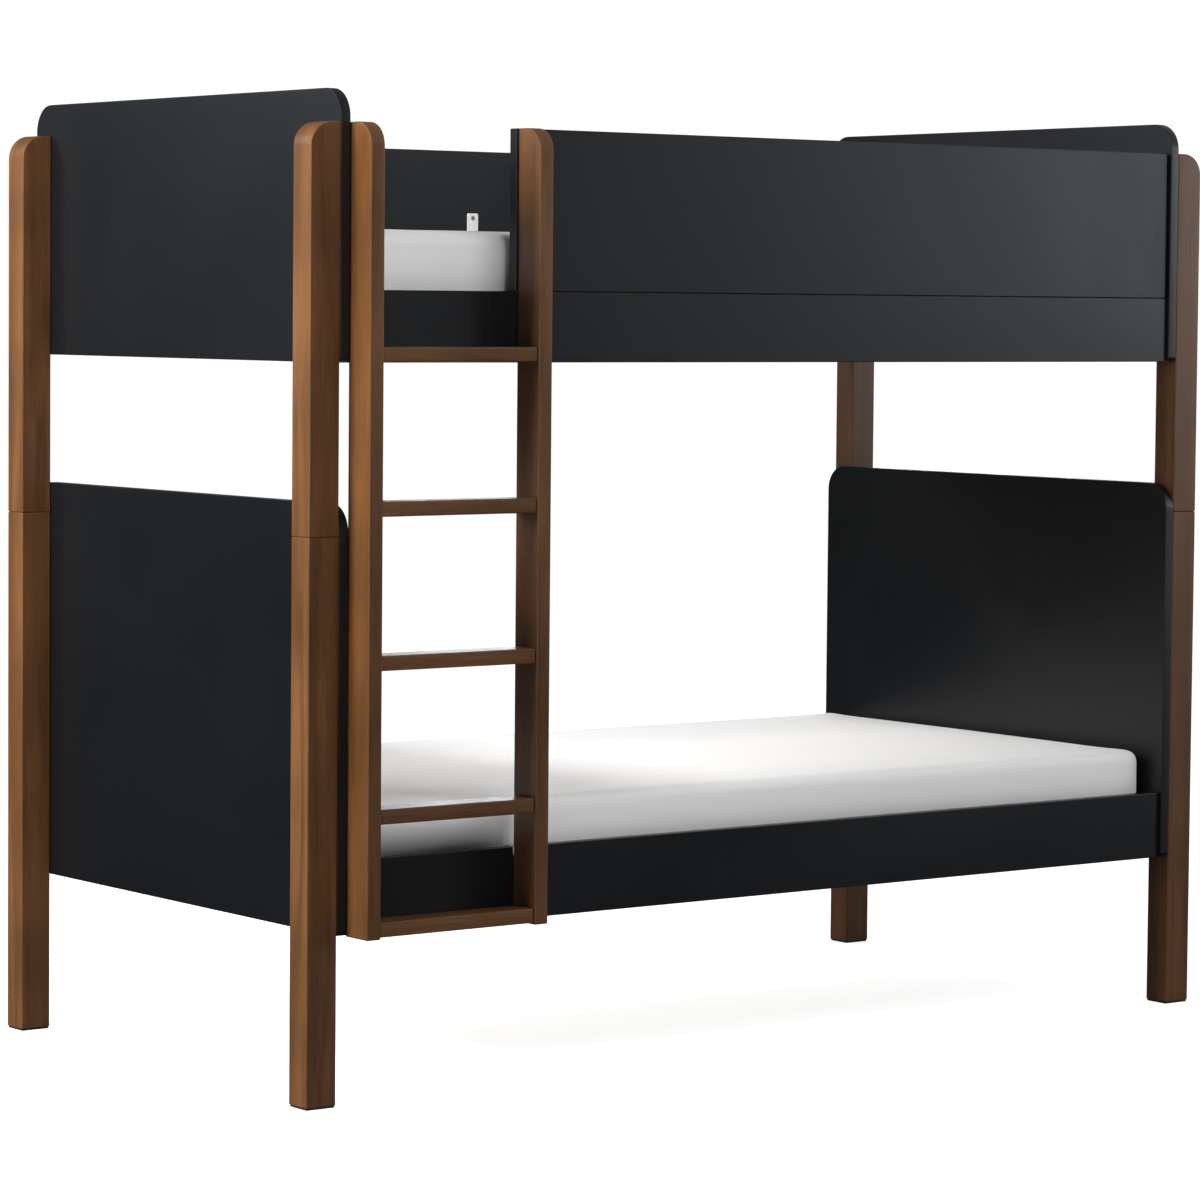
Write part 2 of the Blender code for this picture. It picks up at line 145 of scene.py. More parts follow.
# ---- steel hardware -------------------------------------------------------------------------
SHEET = 0.002
SHEET_EASE = 0.0003
SHEET_CORNER = 0.003
BEND_STEPS = 6
BEND_RADIUS = 0.0022
CORNER_STEPS = 4
HEAD_RADIUS = 0.0045
HEAD_HEIGHT = 0.0022
HEAD_STEPS = 28
PLATE_HEAD_DROPS = (0.010, 0.141, 0.169, 0.191)   # screw heads below a guard plate's top
CORNER_HEAD_SHARE = 0.58      # of an angle bracket's leg, from its bend to the screw
LEDGER_HEADS = 7
HOOK_LIP = 0.0145             # how far a hook's front leg reaches below the rail's top
BOLT_RADIUS = 0.008           # of its head
BOLT_HEIGHT = 0.0028
BOLT_GAP = 0.0003             # between the head and the rail
SHANK_RADIUS = 0.003
SHANK_TIP = (0.0026, 0.0005)  # radius at the end, and length of the taper
DOWEL_EASE = 0.0015


# ---- mesh helpers ---------------------------------------------------------------------------
def facing(point, direction, spin=0.0):
    """Places local +Z along a direction, at a point."""
    turn = Vector(direction).to_track_quat("Z", "Y").to_matrix().to_4x4()
    return Matrix.Translation(point) @ turn @ Matrix.Rotation(spin, 4, "Z")


def to_mesh(name, bm):
    """Turns a bmesh into a mesh that is smooth except at its sharp edges."""
    bmesh.ops.recalc_face_normals(bm, faces=bm.faces)
    mesh = bpy.data.meshes.new(name)
    bm.to_mesh(mesh)
    bm.free()
    mesh.shade_smooth()
    mesh.set_sharp_from_angle(angle=math.radians(SHARP_ANGLE))
    return mesh


def add_piece(name, mesh, material, body, nodes=()):
    """Makes a piece of the object, which rides on a body and stands for the nodes."""
    mesh.materials.append(material)
    piece = bpy.data.objects.new(name, mesh)
    scene.collection.objects.link(piece)
    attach(piece, body)
    if nodes:
        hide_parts(*nodes)
    return piece


def add_copy(bm, mesh, place):
    """Adds a mesh to a bmesh, at a place."""
    start = len(bm.verts)
    bm.from_mesh(mesh)
    bm.verts.ensure_lookup_table()
    bmesh.ops.transform(bm, matrix=place, verts=bm.verts[start:])


def skin(bm, rings):
    """Joins equal rings of points into a closed tube with flat ends."""
    made = [[bm.verts.new(point) for point in ring] for ring in rings]
    for ring, after in zip(made, made[1:]):
        for k in range(len(ring)):
            following = (k + 1) % len(ring)
            bm.faces.new((ring[k], ring[following], after[following], after[k]))
    bm.faces.new(made[0])
    bm.faces.new(made[-1])


def lathe(bm, profile, steps, place):
    """Adds a turned solid from (radius, height) points."""
    turns = [2 * math.pi * k / steps for k in range(steps)]
    circle = [Vector((math.cos(a), math.sin(a), 0)) for a in turns]
    rings = []
    for radius, height in profile:
        rise = Vector((0, 0, height))
        rings.append([place @ (radius * point + rise) for point in circle])
    skin(bm, rings)


def eased_block(bm, low, high, ease, segments=2):
    """Adds a box with rounded edges."""
    centre = (Vector(low) + Vector(high)) / 2
    size = Vector(high) - Vector(low)
    place = Matrix.Translation(centre) @ Matrix.Diagonal((*size, 1.0))
    made = bmesh.ops.create_cube(bm, size=1.0, matrix=place)["verts"]
    edges = {edge for vert in made for edge in vert.link_edges}
    bmesh.ops.bevel(
        bm, geom=list(edges), offset=ease, segments=segments, profile=0.5, affect="EDGES"
    )


def bent_path(points, radius):
    """A path through points, with its corners rounded."""
    made = [points[0]]
    for before, corner, after in zip(points, points[1:], points[2:]):
        back = (before - corner).normalized()
        onward = (after - corner).normalized()
        half = back.angle(onward) / 2
        middle = corner + (back + onward).normalized() * (radius / math.sin(half))
        start = corner + back * (radius / math.tan(half)) - middle
        end = corner + onward * (radius / math.tan(half)) - middle
        for step in range(BEND_STEPS + 1):
            turn = Matrix.Rotation(start.angle(end) * step / BEND_STEPS, 3, start.cross(end))
            made.append(middle + turn @ start)
    made.append(points[-1])
    return made


def strip(bm, path, across, width, thick, corner):
    """Adds a flat strip along the middle line of its thickness, with rounded free corners."""
    stops = []
    for end, inner in ((path[0], path[1]), (path[-1], path[-2])):
        inward = (inner - end).normalized()
        stop = []
        for step in range(CORNER_STEPS + 1):
            turn = math.pi / 2 * step / CORNER_STEPS
            point = end + inward * corner * (1 - math.cos(turn))
            stop.append((point, corner * (1 - math.sin(turn))))
        stops.append(stop)
    line = stops[0] + [(point, 0.0) for point in path[1:-1]] + stops[1][::-1]
    rings = []
    for k, (point, narrower) in enumerate(line):
        before = line[max(k - 1, 0)][0]
        after = line[min(k + 1, len(line) - 1)][0]
        up = (after - before).normalized().cross(across) * (thick / 2)
        side = across * (width / 2 - narrower)
        ease = across * SHEET_EASE
        lift = up * (1 - 2 * SHEET_EASE / thick)
        ring = [side - ease + up, side + lift, side - lift, side - ease - up]
        ring += [ease - side - up, -side - lift, lift - side, ease - side + up]
        rings.append([point + offset for offset in ring])
    skin(bm, rings)


def cut_head(radius, height, cutter):
    """A domed screw head with a recess cut into its top."""
    dome = ((0.5, 0.94), (0.8, 0.74), (0.95, 0.45), (1.0, 0.16), (1.0, 0.0))
    profile = [(NEAR_AXIS, height)]
    profile += [(share * radius, rise * height) for share, rise in dome]
    profile.append((NEAR_AXIS, 0.0))
    head = bmesh.new()
    lathe(head, profile, HEAD_STEPS, Matrix())
    solids = []
    for bm in (head, cutter):
        bmesh.ops.remove_doubles(bm, verts=bm.verts, dist=MERGE)
        bmesh.ops.recalc_face_normals(bm, faces=bm.faces)
        mesh = bpy.data.meshes.new("head")
        bm.to_mesh(mesh)
        bm.free()
        solids.append(bpy.data.objects.new("head", mesh))
        scene.collection.objects.link(solids[-1])
    recess = solids[0].modifiers.new("recess", "BOOLEAN")
    recess.object = solids[1]
    recess.operation = "DIFFERENCE"
    graph = bpy.context.evaluated_depsgraph_get()
    made = bpy.data.meshes.new_from_object(solids[0].evaluated_get(graph))
    for solid in solids:
        bpy.data.objects.remove(solid)
    return made


def cross_cutter(radius, height):
    """A cross with four arms, which widens from inside the head to above it."""
    bm = bmesh.new()
    quarters = [Matrix.Rotation(math.pi / 2 * k, 3, "Z") for k in range(4)]
    rings = []
    for rise, reach, half in ((0.25, 0.22, 0.07), (1.4, 0.62, 0.13)):
        outline = ((reach, -half), (reach, half), (half, half))
        arm = [Vector((x * radius, y * radius, rise * height)) for x, y in outline]
        rings.append([quarter @ point for quarter in quarters for point in arm])
    skin(bm, rings)
    return bm


def hex_cutter(radius, height):
    """A six-sided bar, from inside the head to above it."""
    bm = bmesh.new()
    profile = [(0.5 * radius, 0.3 * height), (0.5 * radius, 1.4 * height)]
    lathe(bm, profile, 6, Matrix())
    return bm


# ---- shader helpers -------------------------------------------------------------------------
def node(tree, kind, inputs=(), **settings):
    """Adds a shader node; an input is a value or another node's output."""
    made = tree.nodes.new("ShaderNode" + kind)
    for key, value in settings.items():
        setattr(made, key, value)
    for key, value in dict(inputs).items():
        if isinstance(value, bpy.types.NodeSocket):
            tree.links.new(value, made.inputs[key])
        else:
            made.inputs[key].default_value = value
    return made


def sums(tree, operation, first, second=0.0, third=0.0):
    """The result of a sum on values or outputs."""
    return node(tree, "Math", {0: first, 1: second, 2: third}, operation=operation).outputs[0]


def blend(tree, amount, first, second, mode="MIX"):
    """A mix of two colours."""
    inputs = {0: amount, 6: first, 7: second}
    return node(tree, "Mix", inputs, data_type="RGBA", blend_type=mode).outputs[2]


def shaded(tree, colour, shade):
    """A colour times a grey value."""
    grey = node(tree, "CombineColor", {0: shade, 1: shade, 2: shade}).outputs[0]
    return blend(tree, 1.0, colour, grey, "MULTIPLY")


def between(tree, value, low, high, to_low=0.0, to_high=1.0):
    """Smoothly maps a stretch of values onto another."""
    inputs = {"Value": value, 1: low, 2: high, 3: to_low, 4: to_high}
    return node(tree, "MapRange", inputs, interpolation_type="SMOOTHSTEP").outputs[0]


def placed(tree, stretch=(1, 1, 1), offset=(0, 0, 0)):
    """The piece's own coordinates, moved and stretched, and apart for each of its boards."""
    own = node(tree, "TexCoord").outputs["Object"]
    board = node(tree, "Attribute", attribute_name="board").outputs["Fac"]
    apart = {0: (3.1, 5.7, 4.3), "Scale": board}
    moved = node(tree, "VectorMath", apart, operation="SCALE").outputs[0]
    summed = node(tree, "VectorMath", {0: own, 1: moved}, operation="ADD").outputs[0]
    inputs = {"Vector": summed, "Location": offset, "Scale": stretch}
    return node(tree, "Mapping", inputs).outputs[0]


def cloud(tree, vector, scale, detail=2.0, distortion=0.0):
    """Noise from 0 to 1."""
    inputs = {"Vector": vector, "Scale": scale, "Detail": detail, "Distortion": distortion}
    return node(tree, "TexNoise", inputs).outputs["Fac"]


def edge_wear_and_highlight_mask(tree, radius, vector):
    """1 along the edges, 0 on flat faces: edge wear, and partly a painted highlight."""
    rounded = node(tree, "Bevel", {"Radius": radius}, samples=4).outputs[0]
    flat = node(tree, "NewGeometry").outputs["Normal"]
    same = node(tree, "VectorMath", {0: rounded, 1: flat}, operation="DOT_PRODUCT").outputs["Value"]
    wear = between(tree, cloud(tree, vector, 38.0, 3.0), 0.38, 0.62, 0.35, 1.0)
    return sums(tree, "MULTIPLY", between(tree, same, 0.995, 0.86), wear)


def relief(tree, height, strength, distance):
    """A normal bumped by a height."""
    inputs = {"Height": height, "Strength": strength, "Distance": distance}
    return node(tree, "Bump", inputs).outputs[0]


def new_material(name):
    """A material, its node tree and its shader."""
    made = bpy.data.materials.new(name)
    made.use_nodes = True
    return made, made.node_tree, made.node_tree.nodes["Principled BSDF"]


def seeded_offset(seed):
    """Shifts a pattern, so that no two boards are alike."""
    draw = random.Random(seed)
    return tuple(draw.uniform(-20, 20) for k in range(3))


def connect(tree, shader, colour, rough, normal):
    """Links the outputs that vary over the surface."""
    tree.links.new(colour, shader.inputs["Base Color"])
    tree.links.new(rough, shader.inputs["Roughness"])
    tree.links.new(normal, shader.inputs["Normal"])


# ---- materials ------------------------------------------------------------------------------
def wood(name, along, seed, tones, contrast, roughness, wear_and_highlight):
    """Straight-grained board: growth rings, fibres, open pores, stain mottling, and lighter edges,
    partly wear and partly a painted highlight.
    """
    made, tree, shader = new_material(name)
    offset = seeded_offset(seed)
    body = placed(tree, [0.06 if k == along else 1.0 for k in range(3)], offset)
    fine = placed(tree, [0.018 if k == along else 1.0 for k in range(3)], offset)
    figure = cloud(tree, body, 7.0, 2.0, 0.5)
    rings = sums(tree, "PINGPONG", sums(tree, "MULTIPLY", figure, 13.0), 1.0)
    streaks = cloud(tree, body, 42.0, 3.0)
    fibres = cloud(tree, fine, 520.0, 2.0)
    pores = between(tree, cloud(tree, fine, 1150.0, 1.0), 0.64, 0.74)
    mottle = cloud(tree, placed(tree, (1, 1, 1), offset), 5.0, 2.0)
    dark, middle, light = [(*tone, 1.0) for tone in tones]
    grain = sums(tree, "MULTIPLY_ADD", rings, 0.55, sums(tree, "MULTIPLY", streaks, 0.45))
    colour = blend(tree, between(tree, grain, 0.5 - contrast, 0.5 + contrast), dark, light)
    colour = blend(tree, 0.5, colour, middle)
    shade = between(tree, fibres, 0.3, 0.7, 0.84, 1.12)
    shade = sums(tree, "MULTIPLY", shade, between(tree, mottle, 0.3, 0.7, 0.86, 1.12))
    shade = sums(tree, "MULTIPLY", shade, between(tree, pores, 0.0, 1.0, 1.0, 0.55))
    colour = shaded(tree, colour, shade)
    # lighter edges: partly wear of the stain, partly a painted highlight along the eased edges
    edges = edge_wear_and_highlight_mask(tree, 0.0022, body)
    rubbed_and_highlit = (*[1.5 * c for c in tones[2]], 1.0)
    colour = blend(tree, sums(tree, "MULTIPLY", edges, wear_and_highlight), colour, rubbed_and_highlit)
    rough = between(tree, fibres, 0.3, 0.7, roughness - 0.05, roughness + 0.06)
    rough = sums(tree, "MULTIPLY_ADD", pores, 0.2, rough)
    height = sums(tree, "MULTIPLY_ADD", pores, -0.9, sums(tree, "MULTIPLY", fibres, 0.35))
    height = sums(tree, "MULTIPLY_ADD", rings, 0.10, height)
    connect(tree, shader, colour, rough, relief(tree, height, 0.35, 0.00018))
    return made


def walnut(name, along, seed):
    """Stained walnut, for the posts and the ladder."""
    return wood(name, along, seed, WALNUT_TONES, contrast=0.32, roughness=0.40, wear_and_highlight=0.35)


def pine(name, along, seed):
    """Pale softwood, for the slats and the ledgers."""
    return wood(name, along, seed, PINE_TONES, contrast=0.30, roughness=0.62, wear_and_highlight=0.15)


def lacquer(name, seed):
    """Black satin paint: faint orange peel, cloudy gloss, and greyer edges, partly wear and partly
    a painted highlight.
    """
    made, tree, shader = new_material(name)
    offset = seeded_offset(seed)
    place = placed(tree, (1, 1, 1), offset)
    clouds = cloud(tree, place, 3.2, 4.0, 0.3)
    wipes = cloud(tree, placed(tree, (1, 1, 0.2), offset), 26.0, 3.0)
    peel = cloud(tree, place, 620.0, 2.0)
    dust = between(tree, cloud(tree, place, 900.0, 1.0), 0.70, 0.80)
    colour = blend(tree, clouds, *LACQUER_TONES)
    colour = blend(tree, sums(tree, "MULTIPLY", dust, 0.25), colour, LACQUER_DUST)
    # greyer edges: partly wear, partly a painted highlight along the eased edges
    edges = edge_wear_and_highlight_mask(tree, 0.0018, place)
    colour = blend(tree, sums(tree, "MULTIPLY", edges, 0.35), colour, LACQUER_EDGE_WEAR_AND_HIGHLIGHT)
    rough = between(tree, clouds, 0.3, 0.7, 0.33, 0.38)
    rough = sums(tree, "MULTIPLY_ADD", wipes, 0.06, rough)
    connect(tree, shader, colour, rough, relief(tree, peel, 0.20, 0.00012))
    return made


def knit(name, seed):
    """White knitted cover: rows of stitches, a little lint, a soft sheen, and painted shade in the
    hollows of the stitches.
    """
    made, tree, shader = new_material(name)
    offset = seeded_offset(seed)
    place = placed(tree, (1, 1, 1), offset)
    parts = node(tree, "SeparateXYZ", {0: place}).outputs
    stitches = 0.0
    for part, pitch in zip(parts, KNIT_PITCH):
        wave = sums(tree, "SINE", sums(tree, "MULTIPLY", part, 2 * math.pi / pitch))
        stitches = sums(tree, "ADD", wave, stitches)
    lint = cloud(tree, place, 800.0, 2.0)
    soft = cloud(tree, place, 4.0, 2.0)
    height = sums(tree, "MULTIPLY_ADD", lint, 1.2, sums(tree, "MULTIPLY", stitches, 0.35))
    colour = blend(tree, soft, *KNIT_TONES)
    # painted shade: the cover is darker where the relief of the stitches is low
    colour = shaded(tree, colour, between(tree, height, -0.6, 1.6, 0.955, 1.0))
    rough = between(tree, lint, 0.3, 0.7, 0.86, 0.96)
    shader.inputs["Sheen Weight"].default_value = 0.12
    shader.inputs["Sheen Roughness"].default_value = 0.4
    shader.inputs["Specular IOR Level"].default_value = 0.2
    connect(tree, shader, colour, rough, relief(tree, height, 0.30, 0.00022))
    return made


def webbing():
    """Off-white woven strap: diagonal ribs that turn back at its middle, with painted shade in the
    troughs of the ribs.
    """
    made, tree, shader = new_material("webbing")
    place = placed(tree)
    parts = node(tree, "SeparateXYZ", {0: place}).outputs
    fold = sums(tree, "PINGPONG", parts[1], WEBBING_FOLD)
    slope = sums(tree, "ADD", parts[0], fold)
    ribs = sums(tree, "SINE", sums(tree, "MULTIPLY", slope, 2 * math.pi / WEBBING_PITCH))
    yarn = cloud(tree, place, 1500.0, 2.0)
    height = sums(tree, "MULTIPLY_ADD", yarn, 0.8, sums(tree, "MULTIPLY", ribs, 0.5))
    # painted shade and light: the strap is darker in the troughs of its ribs and lighter on their
    # crests
    colour = blend(tree, between(tree, height, -0.3, 1.1), *WEBBING_SHADE_AND_LIGHT_TONES)
    rough = between(tree, yarn, 0.3, 0.7, 0.75, 0.9)
    connect(tree, shader, colour, rough, relief(tree, height, 0.6, 0.0004))
    return made


def zinc(name, bright, metallic):
    """Zinc plating: faint spangle, rolling lines and small scratches."""
    made, tree, shader = new_material(name)
    place = placed(tree)
    cells = node(tree, "TexVoronoi", {"Vector": place, "Scale": 260.0}).outputs["Color"]
    spangle = node(tree, "SeparateColor", {0: cells}).outputs[0]
    lines = cloud(tree, placed(tree, (1, 1, 0.04)), 1600.0, 2.0)
    scratches = between(tree, cloud(tree, placed(tree, (0.1, 1, 0.6)), 900.0, 1.0), 0.66, 0.72)
    dull = (*[0.88 * c for c in bright], 1.0)
    colour = blend(tree, spangle, dull, (*bright, 1.0))
    rough = sums(tree, "MULTIPLY_ADD", lines, 0.22, between(tree, spangle, 0.0, 1.0, 0.22, 0.32))
    rough = sums(tree, "MULTIPLY_ADD", scratches, 0.15, rough)
    height = sums(tree, "MULTIPLY_ADD", scratches, -0.6, sums(tree, "MULTIPLY", lines, 0.3))
    shader.inputs["Metallic"].default_value = metallic
    connect(tree, shader, colour, rough, relief(tree, height, 0.3, 0.00008))
    return made


def glide_plastic():
    """Black moulded plastic with a fine spark-eroded grain, scuffed grey."""
    made, tree, shader = new_material("glide_plastic")
    place = placed(tree)
    grain = cloud(tree, place, 1400.0, 3.0)
    scuffs = between(tree, cloud(tree, placed(tree, (1, 0.2, 1)), 240.0, 3.0), 0.56, 0.72)
    colour = blend(tree, sums(tree, "MULTIPLY", scuffs, 0.5), *PLASTIC_TONES)
    rough = between(tree, grain, 0.3, 0.7, 0.48, 0.62)
    connect(tree, shader, colour, rough, relief(tree, grain, 0.4, 0.0001))
    return made


# ---- carried-over pieces --------------------------------------------------------------------
def smooth_nodes():
    """Geometry nodes that join the corners of a faceted mesh and shade its eased edges smooth."""
    group = bpy.data.node_groups.new("join_and_smooth", "GeometryNodeTree")
    for direction in ("INPUT", "OUTPUT"):
        group.interface.new_socket("Geometry", in_out=direction, socket_type="NodeSocketGeometry")
    source = group.nodes.new("NodeGroupInput")
    join = group.nodes.new("GeometryNodeMergeByDistance")
    join.inputs["Distance"].default_value = MERGE
    faces = group.nodes.new("GeometryNodeSetShadeSmooth")
    angle = group.nodes.new("GeometryNodeInputMeshEdgeAngle")
    sharp = group.nodes.new("FunctionNodeCompare")
    sharp.inputs[1].default_value = math.radians(FRAME_SHARP_ANGLE)
    edges = group.nodes.new("GeometryNodeSetShadeSmooth")
    edges.domain = "EDGE"
    edges.inputs["Shade Smooth"].default_value = False
    result = group.nodes.new("NodeGroupOutput")
    links = group.links
    links.new(source.outputs[0], join.inputs["Geometry"])
    links.new(join.outputs[0], faces.inputs["Geometry"])
    links.new(faces.outputs[0], edges.inputs["Geometry"])
    links.new(angle.outputs["Unsigned Angle"], sharp.inputs[0])
    links.new(sharp.outputs[0], edges.inputs["Selection"])
    links.new(edges.outputs[0], result.inputs[0])
    return group


def dress(name, material, smoothing):
    """Gives a node of the frame its material and clean shading."""
    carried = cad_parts[name]
    for place in carried.material_slots:
        place.link = "OBJECT"
        place.material = material
    carried.modifiers.new("smoothing", "NODES").node_group = smoothing
    weighted = carried.modifiers.new("weighted", "WEIGHTED_NORMAL")
    weighted.keep_sharp = True


def dress_frame():
    """Walnut, pine, lacquer or plastic for the nodes that aren't replaced."""
    smoothing = smooth_nodes()
    grain_axis = {"post": 2, "stile": 2, "rung": 0, "ledger": 0}
    plastic = glide_plastic()
    for seed, name in enumerate(sorted(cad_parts)):
        kind = next((part for part in grain_axis if part in name and "dowel" not in name), None)
        if "ledger" in name:
            dress(name, pine("pine_" + name, grain_axis[kind], seed), smoothing)
        elif kind:
            dress(name, walnut("walnut_" + name, grain_axis[kind], seed), smoothing)
        elif "panel" in name or "rail" in name:
            dress(name, lacquer("lacquer_" + name, seed), smoothing)
        elif "glide" in name:
            dress(name, plastic, smoothing)


# ---- how the slats are shared out -----------------------------------------------------------
def slat_reach():
    """Half the length that the slats share out: to the inner faces of the end panels."""
    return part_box("lower_panel_right")[0].x


def slat_pitch():
    return 2 * slat_reach() / SLAT_COUNT


def slat_middles():
    """The X of each slat's middle."""
    return [slat_pitch() * (k + 0.5) - slat_reach() for k in range(SLAT_COUNT)]


# ---- mattresses -----------------------------------------------------------------------------
def cell_lines(half, cell, extra=()):
    """Grid lines from -half to half, close together in the rounded edge and in extra stretches."""
    turns = [math.pi / 2 * k / ROUND_STEPS for k in range(ROUND_STEPS + 1)]
    edge = [MATTRESS_ROUND * (1 - math.cos(turn)) for turn in turns]
    inner = half - MATTRESS_ROUND
    count = max(2, round(2 * inner / cell))
    lines = [-half + e for e in edge] + [-inner + 2 * inner * k / count for k in range(1, count)]
    lines += [half - e for e in edge[::-1]]
    for start, end, fine in extra:
        steps = round((end - start) / fine)
        lines = [x for x in lines if not start - fine < x < end + fine]
        lines += [start + (end - start) * k / steps for k in range(steps + 1)]
    return sorted(lines)


def rounded_grid(half, lines):
    """A closed box of grid cells with its edges and corners rounded, centred."""
    bm = bmesh.new()
    known = {}

    def vertex(i, j, k):
        if (i, j, k) not in known:
            spot = Vector((lines[0][i], lines[1][j], lines[2][k]))
            flat = [h - MATTRESS_ROUND for h in half]
            core = Vector([max(-f, min(f, c)) for c, f in zip(spot, flat)])
            out = spot - core
            if out.length > 0:
                spot = core + out.normalized() * MATTRESS_ROUND
            known[i, j, k] = bm.verts.new(spot)
        return known[i, j, k]

    for axis in range(3):
        first, second = [k for k in range(3) if k != axis]
        for end in (0, len(lines[axis]) - 1):
            for a in range(len(lines[first]) - 1):
                for b in range(len(lines[second]) - 1):
                    ring = []
                    for step_a, step_b in ((0, 0), (1, 0), (1, 1), (0, 1)):
                        index = [0, 0, 0]
                        index[axis] = end
                        index[first] = a + step_a
                        index[second] = b + step_b
                        ring.append(vertex(*index))
                    bm.faces.new(ring)
    bmesh.ops.recalc_face_normals(bm, faces=bm.faces)
    return bm


def inflate(mesh, rest_height):
    """Swells a closed mesh by cloth simulation; what lies below rest_height stays put."""
    start = [vert.co.copy() for vert in mesh.vertices]
    blown = bpy.data.objects.new("inflate", mesh.copy())
    scene.collection.objects.link(blown)
    held = blown.vertex_groups.new(name="held")
    held.add([k for k, point in enumerate(start) if point.z < rest_height], 1.0, "REPLACE")
    cloth = blown.modifiers.new("cloth", "CLOTH")
    cloth.settings.quality = 6
    cloth.settings.mass = 0.3
    cloth.settings.tension_stiffness = 12
    cloth.settings.compression_stiffness = 12
    cloth.settings.bending_stiffness = 2
    cloth.settings.use_pressure = True
    cloth.settings.uniform_pressure_force = CLOTH_PRESSURE
    cloth.settings.vertex_group_mass = "held"
    cloth.settings.effector_weights.gravity = 0.0
    cloth.collision_settings.use_collision = False
    cloth.point_cache.frame_start = 1
    cloth.point_cache.frame_end = CLOTH_FRAMES
    for step in range(1, CLOTH_FRAMES + 1):
        scene.frame_set(step)
    swollen = blown.evaluated_get(bpy.context.evaluated_depsgraph_get()).to_mesh()
    for vert, point, moved in zip(mesh.vertices, start, swollen.vertices):
        travel = moved.co - point
        if travel.length > CLOTH_CAP:
            travel = travel.normalized() * CLOTH_CAP
        vert.co = point + travel
    bpy.data.objects.remove(blown)
    scene.frame_set(1)


def shape_mattress(mesh, half, low, pleat_x, seed):
    """Works the soft details into a mattress: folds low on its sides, and its sag between slats."""
    draw = random.Random(seed)
    shift = Vector([draw.uniform(-50, 50) for k in range(3)])
    pitch = slat_pitch()
    normals = [vert.normal.copy() for vert in mesh.vertices]
    points = [vert.co.copy() for vert in mesh.vertices]
    for vert, point, out in zip(mesh.vertices, points, normals):
        sideways = max(abs(out.x), abs(out.y))
        up_share = (point.z + half.z) / (2 * half.z)
        push = WAVE_DEPTH * noise.noise(point * Vector(WAVE_SCALE) + shift)
        near_x = half.x - abs(point.x)
        near_y = half.y - abs(point.y)
        corner = math.exp(-((near_x + near_y) / CORNER_REACH) ** 2)
        low_down = max(0.0, 1 - up_share / HEM_SHARE) ** 1.5
        ripple = noise.noise(point * Vector(HEM_SCALE) + shift)
        push += HEM_FOLD * sideways * low_down * ripple * (0.35 + 3.2 * corner)
        beside = (point.x - pleat_x) / PLEAT_REACH
        if out.y < -0.5 and abs(beside) < 1:
            fan = math.cos(math.pi * PLEAT_COUNT * beside * (1 + 0.6 * up_share))
            rise = point.z + half.z
            fade = math.exp(-(max(0.0, rise - PLEAT_RISE) / PLEAT_FADE) ** 2)
            push -= PLEAT_DEPTH * fade * (1 - beside * beside) ** 2 * (0.5 + 0.5 * fan)
        vert.co = point + out * push
        if out.z < -0.7 and abs(point.y) < half.y - MATTRESS_ROUND:
            along = (point.x + low.x + half.x) / pitch
            across_gap = abs(along - round(along)) * pitch
            gap_half = (pitch - SLAT_WIDTH) / 2
            if across_gap < gap_half:
                vert.co.z -= SLAT_SAG * math.cos(math.pi / 2 * across_gap / gap_half) ** 2


def make_mattress(level, seed):
    """A knitted cover blown up over its foam; the lower one has small folds by the ladder."""
    name = f"{level}_mattress"
    low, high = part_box(name)
    centre = (low + high) / 2
    half = (high - low) / 2 - Vector((CLOTH_START, CLOTH_START, CLOTH_START / 2))
    centre.z -= CLOTH_START / 2
    pleat_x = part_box("ladder_stile_right")[0].x - PLEAT_SHIFT
    dense = (pleat_x - PLEAT_REACH, pleat_x + PLEAT_REACH, PLEAT_CELL)
    lines = (
        cell_lines(half.x, MATTRESS_CELL, [dense] if level == "lower" else []),
        cell_lines(half.y, MATTRESS_CELL),
        cell_lines(half.z, MATTRESS_CELL),
    )
    bm = rounded_grid(half, lines)
    mesh = bpy.data.meshes.new(name + "_cover")
    bm.to_mesh(mesh)
    bm.free()
    inflate(mesh, -half.z + CLOTH_HELD)
    mesh.update()
    shape_mattress(mesh, half, low, pleat_x if level == "lower" else math.inf, seed)
    mesh.transform(Matrix.Translation(centre))
    mesh.shade_smooth()
    body = f"{level}_bedding"
    piece = add_piece(name + "_cover", mesh, knit(name + "_knit", seed), body, [name])
    finer = piece.modifiers.new("finer", "SUBSURF")
    finer.levels = 1
    finer.render_levels = 1


# ---- slat bases -----------------------------------------------------------------------------
def make_slats(level, seed):
    """Fourteen boards with rounded edges, each with its own stretch of grain."""
    name = f"{level}_slat_base"
    low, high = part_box(name)
    bottom = high.z - SLAT_THICK
    edge = SLAT_WIDTH / 2
    bm = bmesh.new()
    board = bm.verts.layers.float.new("board")
    for number, x in enumerate(slat_middles()):
        start = len(bm.verts)
        eased_block(bm, (x - edge, low.y, bottom), (x + edge, high.y, high.z), SLAT_ROUND, 3)
        bm.verts.ensure_lookup_table()
        for vert in bm.verts[start:]:
            vert[board] = number
    mesh = to_mesh(f"{level}_slats", bm)
    slat_pine = pine(f"{level}_slat_pine", 1, seed)
    add_piece(f"{level}_slats", mesh, slat_pine, f"{level}_bunk", [name])


def strap_path(y, z):
    """Flat below each slat, with a little sag from one to the next."""
    middles = slat_middles()
    edge = SLAT_WIDTH / 2
    path = [Vector((middles[0] - edge / 2, y, z))]
    for x, following in zip(middles, middles[1:]):
        path += [Vector((x + step, y, z)) for step in (-edge * 0.4, edge * 0.4, edge)]
        path += [Vector((x + slat_pitch() * share, y, z - STRAP_SAG)) for share in (0.4, 0.5, 0.6)]
        path.append(Vector((following - edge, y, z)))
    path += [Vector((middles[-1] + step, y, z)) for step in (-edge * 0.4, edge * 0.4)]
    return path


